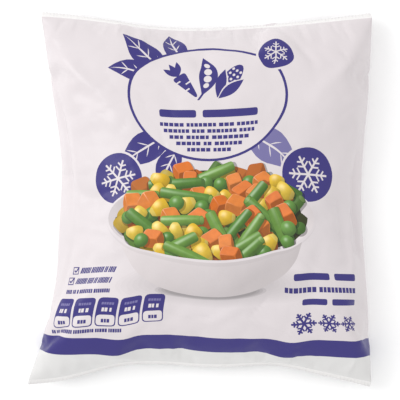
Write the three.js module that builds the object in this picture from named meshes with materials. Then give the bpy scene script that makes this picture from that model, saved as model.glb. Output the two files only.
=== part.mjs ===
// A sealed pillow bag of frozen mixed vegetables, lying on its back with the printed front up.
// One length of plastic film is folded into a tube, joined by a lap down the back, filled, and
// crimped shut across both ends. It is shut and opaque, so it is one solid: nothing inside shows.
//
// Millimetres. X runs across the bag, Y up its front towards the top seal, and Z up from the
// table. The origin is on the table, under the middle of the bag.

import * as THREE from "three";
import { ParametricGeometry } from "three/addons/geometries/ParametricGeometry.js";
import { mergeVertices } from "three/addons/utils/BufferGeometryUtils.js";

// The outline seen from above, as points that each edge passes through.
const LEFT_SIDE = { y: [-86, -58, -36, 10, 51, 86], x: [-79.8, -71.5, -66.6, -64.3, -68.8, -73.4] };
const RIGHT_SIDE = { y: [-86, -44, 5, 45, 86], x: [79.4, 77.9, 75.3, 78.1, 79.8] };
const TOP_CUT = { x: [-76, -46, -28, 12, 48, 80], y: [87.8, 84.2, 81.6, 81.1, 83.9, 87.6] };
const BOTTOM_CUT = {
  x: [-80, -62, -44, -28, 10, 34, 50, 80],
  y: [-86.4, -84.2, -79, -76.8, -78.3, -77.6, -80.5, -87.7],
};
const HALF_SPAN = 78; // about half the width, to find a column's place along the end cuts
const MIDDLE = 1.5; // where the middle of the film lies, down the front and down the back

// The pouch between the two end seals.
const HEIGHT = 37;
const SEAM_HEIGHT = 11.5; // of the line where front and back meet, above the table
const CORNER_LIFT = 2.5; // how much higher that line ends at the four empty corners
const ACROSS = { power: 2.8, root: 0.63 }; // the front's dome from side to side
const ALONG = { power: 4.5, root: 0.82 }; // and from end to end
const UNDERSIDE = { power: 9, root: 0.75, spread: 1.12 }; // the back, pressed flat on the table

// The crimped end seals: both layers of film, welded and pressed into ribs by the jaws.
const SEAL_DEPTH = 7;
const SEAL_HALF_THICKNESS = 0.3;
const SEAL_TILT = THREE.MathUtils.degToRad(66); // they droop, so less of them shows from above
const CORNER_TILT = THREE.MathUtils.degToRad(50);
const RIB_HALF_DEPTH = 0.28;
const SEAL_ROWS = 6; // three ribs

// The lap that joins the film down the middle of the back, folded flat.
const LAP_HALF_WIDTH = 5;
const LAP_THICKNESS = 0.6;
const LAP_FADE = 9; // beside it the film comes back down to the table over this width

// Folds gathered by the seals and the sides, and the vegetables that press up under the film.
const END_PLEATS = { count: 11, depth: 1.7, reach: 9, width: 4.2, span: 50 };
const SIDE_PLEATS = { count: 9, depth: 1.5, reach: 7, width: 4.6, span: 58 };
const LUMPS = { count: 90, height: 0.8, radius: 6.5 };

const SIDE_COLUMNS = 21; // from the lap's edge to the side
const LAP_COLUMNS = 3;
const ROWS = 32;
const FILM = { color: 0xece8ea, roughness: 0.4, metalness: 0 };

// A repeatable draw from 0 to 1, so that every build gives the same folds.
function drawsFrom(seed) {
  let state = seed;
  return () => {
    state = (state * 1664525 + 1013904223) % 4294967296;
    return state / 4294967296;
  };
}

// A smooth curve through the given points, as a function of one coordinate.
function curveThrough(at, values) {
  const curve = new THREE.CubicInterpolant(at, values, 1, new Float32Array(1));
  const low = at[0];
  const high = at[at.length - 1];
  return (place) => curve.evaluate(THREE.MathUtils.clamp(place, low, high))[0];
}

const leftSide = curveThrough(LEFT_SIDE.y, LEFT_SIDE.x);
const rightSide = curveThrough(RIGHT_SIDE.y, RIGHT_SIDE.x);
const topCut = curveThrough(TOP_CUT.x, TOP_CUT.y);
const bottomCut = curveThrough(BOTTOM_CUT.x, BOTTOM_CUT.y);

// 1 in the middle of a dome and 0 at its edge, for a place from -1 to 1 across it.
function dome(place, shape) {
  return (1 - Math.min(1, Math.abs(place)) ** shape.power) ** shape.root;
}

// The seals lean down less at the corners, where no filling pulls on them.
function sealTilt(across) {
  return THREE.MathUtils.lerp(SEAL_TILT, CORNER_TILT, Math.abs(across) ** 3);
}

function seamHeight(across, along) {
  return SEAM_HEIGHT + CORNER_LIFT * Math.abs(across * along) ** 3;
}

// x of the film that lies a share of the way, -1 to 1, from the middle out to a side.
function sidewaysAt(across, y) {
  const side = across < 0 ? leftSide(y) : rightSide(y);
  return THREE.MathUtils.lerp(MIDDLE, side, Math.abs(across));
}

// Where a point of the pouch lies in plan. across and along each run from -1 to 1.
function plan(across, along) {
  const sealShows = SEAL_DEPTH * Math.cos(sealTilt(across));
  const bottom = bottomCut(across * HALF_SPAN) + sealShows;
  const top = topCut(across * HALF_SPAN) - sealShows;
  const y = THREE.MathUtils.lerp(bottom, top, (along + 1) / 2);
  const x = sidewaysAt(across, y);
  const fromEnd = Math.min(y - bottom, top - y);
  const fromSide = Math.min(x - leftSide(y), rightSide(y) - x);
  return { x, y, fromEnd, fromSide };
}

// Folds that start at an edge: each is a soft ridge or furrow that leans and dies away.
function makePleats(shape, seed) {
  const draw = drawsFrom(seed);
  return Array.from({ length: shape.count }, (_, i) => ({
    at: shape.span * ((2 * (i + draw())) / shape.count - 1),
    lean: draw() - 0.5,
    depth: shape.depth * (0.5 + 0.5 * draw()) * (i % 2 ? -1 : 0.7),
    reach: shape.reach * (0.6 + 0.8 * draw()),
    width: shape.width * (0.7 + 0.6 * draw()),
  }));
}

function pleatRelief(pleats, place, fromEdge) {
  return pleats.reduce((sum, pleat) => {
    const aside = (place - pleat.at - pleat.lean * fromEdge) / pleat.width;
    const away = fromEdge / pleat.reach;
    return sum + pleat.depth * away * Math.exp(1 - away - aside * aside);
  }, 0);
}

const pleats = {
  bottom: makePleats(END_PLEATS, 11),
  top: makePleats(END_PLEATS, 23),
  left: makePleats(SIDE_PLEATS, 37),
  right: makePleats(SIDE_PLEATS, 41),
};

// Vegetables under the film, each a low round bump; the film spans the hollows between them.
const drawLump = drawsFrom(5);
const lumps = Array.from({ length: LUMPS.count }, () => ({
  x: 130 * (drawLump() - 0.5) + 5,
  y: 140 * (drawLump() - 0.5),
  height: LUMPS.height * (0.5 + 0.5 * drawLump()),
  radius: LUMPS.radius * (0.7 + 0.6 * drawLump()),
}));

function lumpRelief(x, y) {
  return lumps.reduce((highest, lump) => {
    const away = Math.hypot(x - lump.x, y - lump.y) / lump.radius;
    return Math.max(highest, lump.height * Math.exp(-away * away));
  }, 0);
}

function frontRelief(across, along, place) {
  const end = along < 0 ? pleats.bottom : pleats.top;
  const side = across < 0 ? pleats.left : pleats.right;
  const filled = dome(across, ACROSS) * dome(along, ALONG);
  return (
    pleatRelief(end, place.x, place.fromEnd) * dome(across, ACROSS) +
    pleatRelief(side, place.y, place.fromSide) * dome(along, ALONG) +
    lumpRelief(place.x, place.y) * filled
  );
}

// The film beside the lap is held off the table by the lap's thickness.
function lapRelief(column) {
  const beyond = Math.abs(column.across) * HALF_SPAN - LAP_HALF_WIDTH;
  return column.onLap ? 0 : LAP_THICKNESS * Math.max(0, 1 - beyond / LAP_FADE) ** 2;
}

// A point of the pouch's front or back film.
function pouchPoint(column, along, isFront, target) {
  const { across } = column;
  const place = plan(across, along);
  const seam = seamHeight(across, along);
  if (isFront) {
    const crown = (HEIGHT - SEAM_HEIGHT) * dome(across, ACROSS) * dome(along, ALONG);
    return target.set(place.x, place.y, seam + crown + frontRelief(across, along, place));
  }
  const flat = Math.min(1, UNDERSIDE.spread * dome(across, UNDERSIDE) * dome(along, UNDERSIDE));
  return target.set(place.x, place.y, seam * (1 - flat) + lapRelief(column) * flat);
}

// A point of an end seal, rows out from the pouch. end is -1 at the bottom and 1 at the top.
function sealPoint({ across }, end, row, isFront, target) {
  const tilt = sealTilt(across);
  const isCutEdge = row === SEAL_ROWS;
  const fromRoot = (SEAL_DEPTH * row) / SEAL_ROWS;
  const rib = row === 0 || isCutEdge ? 0 : RIB_HALF_DEPTH * (row % 2 ? 1 : -1);
  const layer = Math.abs(across) === 1 || isCutEdge ? 0 : SEAL_HALF_THICKNESS * (isFront ? 1 : -1);
  const off = rib + layer;
  const y = plan(across, end).y + end * (fromRoot * Math.cos(tilt) + off * Math.sin(tilt));
  const z = seamHeight(across, end) - fromRoot * Math.sin(tilt) + off * Math.cos(tilt);
  return target.set(sidewaysAt(across, y), y, z);
}

// Even steps of film lie closer together in plan where it turns down at the sides and ends.
const spreadAcross = (step) => step * (1 + 0.16 * (1 - step ** 2));
const spreadAlong = (step) => step * (1 + 0.12 * (1 - step ** 4));

// The skin's columns from side to side. Two of them share a place at each edge of the lap, one
// on it and one beside it, which makes the step there; on the front they are one.
function makeColumns() {
  const edge = LAP_HALF_WIDTH / HALF_SPAN;
  const beside = Array.from({ length: SIDE_COLUMNS + 1 }, (_, i) => ({
    across: THREE.MathUtils.lerp(edge, 1, spreadAcross(i / SIDE_COLUMNS)),
    onLap: false,
  }));
  const lap = Array.from({ length: LAP_COLUMNS + 1 }, (_, i) => ({
    across: THREE.MathUtils.lerp(-edge, edge, i / LAP_COLUMNS),
    onLap: true,
  }));
  const otherSide = beside.map((column) => ({ ...column, across: -column.across })).reverse();
  return [...otherSide, ...lap, ...beside];
}

// The film as one closed skin. Its rings run round the bag, up the front from left to right and
// back along the rear, and are stacked from the bottom cut edge to the top one.
function makeBagSkin() {
  const columns = makeColumns();
  const last = columns.length - 1;
  const slices = 2 * last;
  const stacks = ROWS + 2 * SEAL_ROWS;
  return new ParametricGeometry(
    (u, v, target) => {
      const step = Math.round(u * slices);
      const stack = Math.round(v * stacks) - SEAL_ROWS;
      const isFront = step <= last;
      const column = columns[isFront ? step : slices - step];
      if (stack <= 0) sealPoint(column, -1, -stack, isFront, target);
      else if (stack >= ROWS) sealPoint(column, 1, stack - ROWS, isFront, target);
      else pouchPoint(column, spreadAlong((2 * stack) / ROWS - 1), isFront, target);
    },
    slices,
    stacks,
  );
}

// Joins the points that front and back share, and drops the faces that this leaves with no area.
function closeSkin(skin) {
  skin.deleteAttribute("normal");
  skin.deleteAttribute("uv");
  const merged = mergeVertices(skin, 1e-3);
  const corners = merged.index.array;
  const kept = [];
  for (let i = 0; i < corners.length; i += 3) {
    const [a, b, c] = corners.slice(i, i + 3);
    if (a !== b && b !== c && c !== a) kept.push(a, b, c);
  }
  merged.setIndex(kept);
  merged.computeVertexNormals();
  return merged;
}

function makeBag() {
  const bag = new THREE.Mesh(closeSkin(makeBagSkin()), new THREE.MeshStandardMaterial(FILM));
  bag.name = "bag";
  return bag;
}

const frozenVegetableBag = new THREE.Group();
frozenVegetableBag.add(makeBag());

export default frozenVegetableBag;
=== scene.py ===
# %% [markdown]
# # A bag of frozen mixed vegetables
#
# A packing machine folds one length of printed film into a tube, laps its edges together down
# the back, and crimps it shut across both ends, with the vegetables and some air inside. The bag
# lies on its back, and we look straight down on its printed front.
#
# The bag's plain solid comes in first, as a frame that nothing may move. This lesson puts film
# in its place: film that is cut flat, blown up and settled by a simulation, and then printed.

import math
from collections import namedtuple
from itertools import chain

import bpy
import numpy as np
from mathutils import Matrix, Vector
from mathutils.geometry import convex_hull_2d, delaunay_2d_cdt


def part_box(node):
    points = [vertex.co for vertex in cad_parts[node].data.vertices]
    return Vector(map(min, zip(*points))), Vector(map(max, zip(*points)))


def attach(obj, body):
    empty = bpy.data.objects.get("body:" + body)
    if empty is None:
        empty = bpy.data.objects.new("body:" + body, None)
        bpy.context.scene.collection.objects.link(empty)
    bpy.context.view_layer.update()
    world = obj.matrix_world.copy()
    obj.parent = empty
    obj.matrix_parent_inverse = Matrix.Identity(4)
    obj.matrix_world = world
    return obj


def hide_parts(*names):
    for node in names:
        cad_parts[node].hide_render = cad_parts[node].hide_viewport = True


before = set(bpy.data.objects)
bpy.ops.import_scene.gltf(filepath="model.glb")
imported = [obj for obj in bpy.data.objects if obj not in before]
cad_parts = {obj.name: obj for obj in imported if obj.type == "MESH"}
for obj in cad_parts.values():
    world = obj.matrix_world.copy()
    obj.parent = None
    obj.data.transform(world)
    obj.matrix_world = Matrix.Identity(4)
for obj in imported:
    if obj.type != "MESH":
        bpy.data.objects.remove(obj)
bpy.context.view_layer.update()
MM = 0.001  # all sizes below are in millimetres, and meshes are in metres
low, high = (np.array(corner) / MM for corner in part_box("bag"))
print("the solid bag, mm:", low.round(1), high.round(1))


def new_object(name, data):
    """Puts a mesh, a camera or a lamp in the scene."""
    thing = bpy.data.objects.new(name, data)
    bpy.context.scene.collection.objects.link(thing)
    return thing


def new_mesh(name, points, faces):
    mesh = bpy.data.meshes.new(name)
    mesh.from_pydata(points.tolist(), [], faces.tolist())
    return mesh


def flat_square(name, half):
    """A square on the floor, this many metres from its middle to each side."""
    corners = np.array([(-1, -1, 0), (1, -1, 0), (1, 1, 0), (-1, 1, 0)]) * half
    return new_object(name, new_mesh(name, corners, np.array([(0, 1, 2, 3)])))


# %% [markdown]
# ## The camera
#
# The bag is seen from straight above. A long lens from far away keeps the sides of the bag
# from leaning outwards. The width of the view is set at the height of the bag's outline, so
# that the bag fills the picture as it should whatever the lens.

# %% Camera
VIEW_WIDTH = 186.0  # across the square picture
VIEW_CENTRE = (0.0, 0.0)
OUTLINE_HEIGHT = 12.0  # of the bag's widest line above the floor
CAMERA_HEIGHT = 900.0  # above that line

camera_data = bpy.data.cameras.new("camera")
camera_data.sensor_width = 36.0
camera_data.lens = camera_data.sensor_width * CAMERA_HEIGHT / VIEW_WIDTH
camera = new_object("camera", camera_data)
camera.location = np.array([*VIEW_CENTRE, OUTLINE_HEIGHT + CAMERA_HEIGHT]) * MM
bpy.context.scene.camera = camera
print("lens, mm:", round(camera_data.lens))

# %% [markdown]
# ## Cutting the film
#
# Film hardly stretches, so its shape is best found the way the real one gets it: start from flat
# film of the right size, and let it be filled. The front and back are grids with shared sides
# and ends, like a pillowcase. A strip beyond each end is the seal. The two layers start a little
# apart, with a trace of unevenness, because perfectly flat film wouldn't know which way to fold.

# %% Flat film
FILM_WIDTH = 160.0
FILM_LENGTH = 176.0  # between the seals
SEAL_DEPTH = 7.0
CLOTH_STEP = 3.0
FIRST_BULGE = 5.0
UNEVENNESS = 0.05

columns = round(FILM_WIDTH / CLOTH_STEP)
rows = round(FILM_LENGTH / CLOTH_STEP)
seal_rows = 2
across = np.linspace(-FILM_WIDTH / 2, FILM_WIDTH / 2, columns + 1)
along = np.linspace(-FILM_LENGTH / 2, FILM_LENGTH / 2, rows + 1)
across_grid, along_grid = np.meshgrid(across, along)
random = np.random.default_rng(3)


def quads(index):
    """Faces between neighbouring points of a grid of point numbers, going round to the left."""
    corners = index[:-1, :-1], index[:-1, 1:], index[1:, 1:], index[1:, :-1]
    return np.stack(corners, -1).reshape(-1, 4)


def flat_layer(side):
    """One layer of film: half a cosine high across and along, square-rooted to steepen its edge."""
    arch = np.cos(np.pi * across_grid / FILM_WIDTH) * np.cos(np.pi * along_grid / FILM_LENGTH)
    height = FIRST_BULGE * np.sqrt(np.clip(arch, 0, 1)) + random.normal(0, UNEVENNESS, arch.shape)
    height[[0, -1]] = 0
    height[:, [0, -1]] = 0
    return np.stack([across_grid, along_grid, side * height], -1)


inside = np.zeros(across_grid.shape, bool)
inside[1:-1, 1:-1] = True
front_index = np.arange(inside.size).reshape(inside.shape)
back_index = front_index.copy()
back_index[inside] = inside.size + np.arange(inside.sum())
points = [flat_layer(1).reshape(-1, 3), flat_layer(-1)[inside]]
faces = [quads(front_index), quads(back_index)[:, ::-1]]
body_count = len(points[0]) + len(points[1])

point_count = body_count
for end, row in ((-1, 0), (1, rows)):
    strip = np.arange(seal_rows * (columns + 1)).reshape(seal_rows, -1) + point_count
    reach = (FILM_LENGTH / 2 + SEAL_DEPTH * np.arange(1, seal_rows + 1) / seal_rows) * end
    x, y = np.meshgrid(across, reach)
    points.append(np.stack([x, y, 0 * x], -1).reshape(-1, 3))
    faces.append(quads(np.vstack([front_index[row], strip]))[:, ::end])
    point_count += strip.size
print("film grid:", columns, "by", rows, "with", point_count, "points")

# %% [markdown]
# ## Filling it
#
# Blender's cloth has pressure for a closed mesh. A target volume makes it stop swelling when
# the bag is as full as the real one, and a fluid density makes it heavier at the bottom, as
# loose vegetables are, so that the bag flattens against the floor. Cloth works best at the size
# of clothes, so the film is simulated ten times as large. The seals are two welded layers, so
# they are stiffer.

# %% Simulate the filling
CLOTH_SCALE = 0.01  # metres of simulation to a millimetre of film
VOLUME_LITRES = 0.58
START_HEIGHT = 0.12
FRAMES = 50
# thin film resists stretching far more than bending, and the air slows it down
FILM_CLOTH = {
    "quality": 8,
    "mass": 0.05,
    "tension_stiffness": 120,
    "compression_stiffness": 120,
    "shear_stiffness": 60,
    "bending_stiffness": 0.5,
    "bending_stiffness_max": 20,
    "vertex_group_bending": "seals",
    "tension_damping": 5,
    "compression_damping": 5,
    "shear_damping": 5,
    "air_damping": 3,
    "use_pressure": True,
    "uniform_pressure_force": 0.2,
    "vertex_group_pressure": "pouch",
    "use_pressure_volume": True,
    "target_volume": VOLUME_LITRES,
    "pressure_factor": 20,
    "fluid_density": 0.35,
}
CLOTH_DISTANCE = 0.004  # how near the film may come to the floor


def fill_film(points, faces):
    """Blows the flat film up and returns where its points settle."""
    start = points * CLOTH_SCALE + (0, 0, START_HEIGHT)
    film = new_object("film_cloth", new_mesh("film_cloth", start, faces))
    scene = bpy.context.scene
    film.vertex_groups.new(name="pouch").add(list(range(body_count)), 1.0, "REPLACE")
    ends = [*range(body_count, len(points)), *front_index[0].tolist(), *front_index[-1].tolist()]
    film.vertex_groups.new(name="seals").add(ends, 1.0, "REPLACE")
    cloth = film.modifiers.new("cloth", "CLOTH")
    for name, value in FILM_CLOTH.items():
        setattr(cloth.settings, name, value)
    cloth.collision_settings.distance_min = CLOTH_DISTANCE
    floor = flat_square("cloth_floor", 5)
    floor.modifiers.new("collision", "COLLISION")
    floor.collision.thickness_outer = 0.002
    floor.collision.cloth_friction = 5
    scene.frame_end = FRAMES
    cloth.point_cache.frame_end = FRAMES
    for number in range(1, FRAMES + 1):
        scene.frame_set(number)
    settled = film.evaluated_get(bpy.context.evaluated_depsgraph_get()).to_mesh()
    places = np.empty(len(points) * 3)
    settled.vertices.foreach_get("co", places)
    for thing in (film, floor):
        bpy.data.objects.remove(thing)
    scene.frame_set(1)
    return places.reshape(-1, 3) / CLOTH_SCALE


settled = fill_film(np.vstack(points), np.vstack(faces))
front = settled[front_index]
back = settled[back_index]
ring = np.concatenate([front, back[:, -2:0:-1]], axis=1)
ring[..., 2] -= ring[..., 2].min()
print("settled, mm:", ring.min((0, 1)).round(1), ring.max((0, 1)).round(1))

# %% [markdown]
# ## The outline
#
# A simulated bag comes out even. The real one was pulled in more on its left, and its corners
# don't quite match. So each edge gets a smooth curve through a few measured points, and the film
# is eased sideways and lengthways between those curves. Nothing moves more than a few
# millimetres, so the folds stay as they settled.

# %% Outline curves
# each edge: places along it, and how far out it is at each of them
LEFT_SIDE = ([-86, -58, -36, -14, 14, 51, 86], [-80.4, -71.5, -67, -65.6, -64.5, -68.8, -73.8])
RIGHT_SIDE = ([-86, -44, 5, 45, 86], [79.4, 77.9, 75.3, 78.1, 79.8])
TOP_CUT = ([-76, -46, -28, 12, 48, 80], [87.8, 84.2, 81.6, 81.1, 83.9, 87.6])
BOTTOM_CUT = (
    [-80, -62, -44, -28, 10, 34, 50, 80],
    [-86.4, -84.2, -79, -76.8, -78.3, -77.6, -80.5, -87.7],
)
SEAL_TILT = math.radians(74)  # the seals droop, so less of them shows from above
CORNER_TILT = math.radians(66)
HALF_SPAN = 78.0
FLOOR_EASE = 1.5  # the corners of the seals reach the floor and bend up from it


def curve_through(places, values):
    """Returns a natural cubic spline: between two points its bend changes evenly from the one's
    to the other's, and at both ends it is straight."""
    places, values = np.array(places, float), np.array(values, float)
    gaps = np.diff(places)
    slopes = np.diff(values) / gaps
    beside = np.diag(gaps[1:-1], 1)
    bends = np.zeros(len(places))
    bends[1:-1] = np.linalg.solve(
        np.diag(2 * (gaps[:-1] + gaps[1:])) + beside + beside.T, 6 * np.diff(slopes)
    )

    def curve(at):
        at = np.clip(at, places[0], places[-1])
        i = np.clip(np.searchsorted(places, at, "right") - 1, 0, len(gaps) - 1)
        before, after = (places[i + 1] - at) / gaps[i], (at - places[i]) / gaps[i]
        bow = (before**3 - before) * bends[i] + (after**3 - after) * bends[i + 1]
        return before * values[i] + after * values[i + 1] + bow * gaps[i] ** 2 / 6

    return curve


left_side, right_side = curve_through(*LEFT_SIDE), curve_through(*RIGHT_SIDE)
top_cut, bottom_cut = curve_through(*TOP_CUT), curve_through(*BOTTOM_CUT)


def seal_tilt(x):
    """The seals' lean below the horizontal, less at the corners."""
    return SEAL_TILT + (CORNER_TILT - SEAL_TILT) * np.clip(np.abs(x) / HALF_SPAN, 0, 1) ** 3


def between(share, start, end):
    """A straight mix: start at share 0, and end at share 1."""
    return start + share * (end - start)


# %% Ease the film to the outline
seal_shows = SEAL_DEPTH * np.cos(seal_tilt(ring[..., 0]))
bottom_root = bottom_cut(ring[..., 0]) + seal_shows
top_root = top_cut(ring[..., 0]) - seal_shows
share = (ring[..., 1] - ring[0, :, 1]) / (ring[-1, :, 1] - ring[0, :, 1])
ring[..., 1] = between(share, bottom_root, top_root)

# the smooth surface will pass a little inside the grid's outermost points
smooth_x = (np.roll(ring[..., 0], 1, 1) + 4 * ring[..., 0] + np.roll(ring[..., 0], -1, 1)) / 6
leftmost, rightmost = smooth_x.min(1, keepdims=True), smooth_x.max(1, keepdims=True)
share = (ring[..., 0] - leftmost) / (rightmost - leftmost)
ring[..., 0] = between(share, left_side(ring[..., 1]), right_side(ring[..., 1]))
print("eased, mm:", ring.min((0, 1)).round(1), ring.max((0, 1)).round(1))

# %% [markdown]
# ## A smooth surface from the grid
#
# The cloth grid is coarse, so the film is read off it as a B-spline: every point of the surface
# mixes the four by four grid points round it, with weights that fade smoothly. The film is a
# tube, so the grid wraps round in one direction. Along the other it is carried on past each
# end in a straight line, which makes the surface end exactly on the last row.

# %% Film surface
padded = np.concatenate([2 * ring[:1] - ring[1:2], ring, 2 * ring[-1:] - ring[-2:-1]])


def spline_weights(f):
    """The uniform cubic B-spline's weights for four neighbours, at the share f of the way from
    the second to the third."""
    weights = (1 - f) ** 3, 3 * f**3 - 6 * f**2 + 4, -3 * f**3 + 3 * f**2 + 3 * f + 1, f**3
    return np.stack(weights, -1) / 6


def tube_point(around, along):
    """Where film that lay at this distance round the tube, from its left fold over the front, and
    this distance up it, has settled."""
    u = around * ring.shape[1] / (2 * FILM_WIDTH)
    v = np.clip((along / FILM_LENGTH + 0.5) * rows, 0, rows)
    i = np.floor(u).astype(int)
    j = np.clip(np.floor(v).astype(int), 0, rows - 1)
    four = np.arange(4)
    near_columns = (i[:, None] + four - 1) % ring.shape[1]
    near = padded[(j[:, None] + four)[:, :, None], near_columns[:, None, :]]
    return np.einsum("nr,nc,nrcx->nx", spline_weights(v - j), spline_weights(u - i), near)


# %% [markdown]
# ## Bumps and folds
#
# What a coarse grid can't hold is added along the surface's normal. Where the film lies on the
# vegetables it shows them as low, soft bumps: each is a bell curve, and the highest of those that
# reach a point counts, because film bridges the hollows. Where the flat tube had to become a
# pillow there is film to spare, which gathers in pleats at the seals and in a few longer folds.
# A fold is a bell curve across its line that fades out along it.

# %% Bumps in the front
BUMPS = 150
BUMP_HEIGHT = 0.55
BUMP_RADIUS = 6.0
BUMP_REACH = np.array([64.0, 70.0])  # sideways and lengthways from the middle

bump_places = random.uniform(-BUMP_REACH, BUMP_REACH, (BUMPS, 2))
bump_heights = BUMP_HEIGHT * random.uniform(0.3, 1, BUMPS)
bump_radii = BUMP_RADIUS * random.uniform(0.7, 1.3, BUMPS)


def bump_height(x, along):
    """The highest bell curve over each place: height times e to the minus distance squared."""
    away = np.hypot(x[:, None] - bump_places[:, 0], along[:, None] - bump_places[:, 1])
    return (bump_heights * np.exp(-((away / bump_radii) ** 2))).max(1)


# %% Folds in the front
# x, y, direction in degrees, half the length, half the width, height
LONG_FOLDS = [
    (73, -4, 91, 26, 2.0, -1.0),
    (68, -22, 86, 20, 2.2, 0.9),
    (63, -14, 95, 13, 2.4, -0.8),
    (58, 60, 52, 17, 3.2, 0.8),
    (40, 70, 118, 12, 2.4, -0.8),
    (26, 74, 66, 10, 2.2, 0.7),
    (-30, 76, 104, 9, 2.0, 0.7),
    (-60, 58, 128, 16, 3.4, 0.7),
    (-66, 18, 92, 20, 2.6, 0.7),
    (-72, 26, 95, 30, 1.8, -0.9),
    (-70, -34, 83, 14, 2.0, -0.7),
    (-62, -52, 50, 16, 3.4, 0.8),
    (-16, -57, 150, 11, 2.4, -0.6),
    (7, -56, 30, 12, 2.6, 0.6),
    (24, -60, 164, 10, 2.2, 0.5),
    (60, -58, 130, 15, 3.4, 0.8),
    (48, -30, 70, 12, 3.2, -0.5),
]
PLEAT_GAP = 6.0  # between the pleats at a seal, on average
PLEAT_REACH = 70.0  # of the outermost pleats from the middle
CREASES = 60  # stray ones, all over the front
CREASE_REACH = 68.0


def either_way(count, least, most):
    """Heights between these two, of which chance turns some into dents."""
    return random.choice([-1, 1], count) * random.uniform(least, most, count)


def end_pleats(end):
    """Short folds that run in from one seal, nearly straight, at uneven distances and depths."""
    count = round(FILM_WIDTH / PLEAT_GAP)
    x = np.linspace(-PLEAT_REACH, PLEAT_REACH, count) + random.uniform(-2.5, 2.5, count)
    half_length = random.uniform(4, 10, count)
    y = end * (FILM_LENGTH / 2 - 0.7 * half_length)
    direction = 90 + random.uniform(-16, 16, count)
    half_width = random.uniform(0.9, 2.0, count)
    return np.stack([x, y, direction, half_length, half_width, either_way(count, 0.2, 0.55)], -1)


def stray_creases():
    """Small sharp creases anywhere, more of them towards the ends, where the film is looser."""
    x = random.uniform(-CREASE_REACH, CREASE_REACH, CREASES)
    y = FILM_LENGTH / 2 * np.sin(random.uniform(-1.25, 1.25, CREASES))
    direction = random.uniform(0, 180, CREASES)
    half_length = random.uniform(4, 12, CREASES)
    half_width = random.uniform(0.9, 1.8, CREASES)
    return np.stack([x, y, direction, half_length, half_width, either_way(CREASES, 0.08, 0.26)], -1)


folds = np.vstack([LONG_FOLDS, end_pleats(-1), end_pleats(1), stray_creases()])


def fold_height(x, along):
    """All folds added up: height times e to the minus (across squared plus along to the fourth),
    with both distances as shares of the fold's half width and half length."""
    centre_x, centre_y, direction, half_length, half_width, height = folds.T
    angle = np.radians(direction)
    away_x, away_y = x[:, None] - centre_x, along[:, None] - centre_y
    down_line = (away_x * np.cos(angle) + away_y * np.sin(angle)) / half_length
    off_line = (away_y * np.cos(angle) - away_x * np.sin(angle)) / half_width
    return (height * np.exp(-(off_line**2) - down_line**4)).sum(1)


# %% [markdown]
# ## The lap down the back
#
# The film's two long edges lie one over the other down the back, in a flat strip that touches the
# floor. Beside the strip the film is one thickness of lap higher, in a step that a fingernail
# catches on, and settles back to the floor a little way off.

# %% Lap
LAP_MIDDLE = 1.5
LAP_HALF_WIDTH = 5.0
LAP_THICKNESS = 0.6
LAP_STEP = 0.25
LAP_FADE = 9.0


def lap_height(x):
    """Nought under the lap, its thickness a step away, and down again as half a cosine wave."""
    beyond = np.abs(x - LAP_MIDDLE) - LAP_HALF_WIDTH
    rise = np.clip(beyond / LAP_STEP, 0, 1)
    fall = 0.5 + 0.5 * np.cos(np.pi * np.clip((beyond - LAP_STEP) / LAP_FADE, 0, 1))
    return LAP_THICKNESS * rise * fall


# %% [markdown]
# ## The seals
#
# Heated jaws weld the two layers and press ribs into them, and a toothed knife cuts them off.
# From the pouch's end each seal carries on outwards and down, as a ribbon of straight lines.
# The offset from each line is a sine wave across the ribs, and the ribbon's length varies
# as a zigzag along the cut.

# %% Seal surface
LAYER_THICKNESS = 0.15
RIB_HEIGHT = 0.2
RIB_PITCH = 1.4
TOOTH_PITCH = 1.6
TOOTH_DEPTH = 0.7
BLEND_REACH = 3.0  # over which the pouch's two layers come together at a seal
SIDE_FADE = 3.0  # over which bumps and folds die out at the sides
END_FADE = 2.0  # and at the ends
WELD_FADE = 0.5  # over which the layers come together at the sides
RIB_FADE = 6  # the ribs rise and die out in a sixth of the seal's depth
LAYER_FADE = 20  # and the layers meet in its last twentieth
NORMAL_STEP = 0.1
FINE_NORMAL_STEP = 0.05
SHARE_STEP = 0.01  # of a seal's depth, for its normals


def layer_gap(x):
    """How far a layer's outer face is from the weld: a film's thickness, and none at the sides."""
    return LAYER_THICKNESS * np.clip((FILM_WIDTH / 2 - np.abs(x)) / WELD_FADE, 0, 1)


def seal_axes(x, end):
    """Unit vectors outwards along a seal, and out of its front face."""
    tilt = seal_tilt(x)
    flat = np.zeros_like(tilt)
    outwards = np.stack([flat, end * np.cos(tilt), -np.sin(tilt)], -1)
    upwards = np.stack([flat, end * np.sin(tilt), np.cos(tilt)], -1)
    return outwards, upwards


def round_tube(x, is_front):
    """The distance round the tube of film that lies x from the middle of its front or back."""
    return x + FILM_WIDTH / 2 if is_front else 1.5 * FILM_WIDTH - x


def within_film(along, margin):
    """A distance up the film, kept this far from both ends."""
    return np.clip(along, margin - FILM_LENGTH / 2, FILM_LENGTH / 2 - margin)


def facing(point, x, y, step_x, step_y, *rest):
    """Unit normals of a surface: the cross product of two short steps on it."""
    side = point(x + step_x, y, *rest) - point(x - step_x, y, *rest)
    up = point(x, y + step_y, *rest) - point(x, y - step_y, *rest)
    normal = np.cross(side, up)
    return normal / np.maximum(np.linalg.norm(normal, axis=-1, keepdims=True), 1e-12)


def film_point(x, along, is_front):
    """The bare film at a place of the front or back, by its distance from the middle."""
    return tube_point(round_tube(x, is_front), along)


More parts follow.
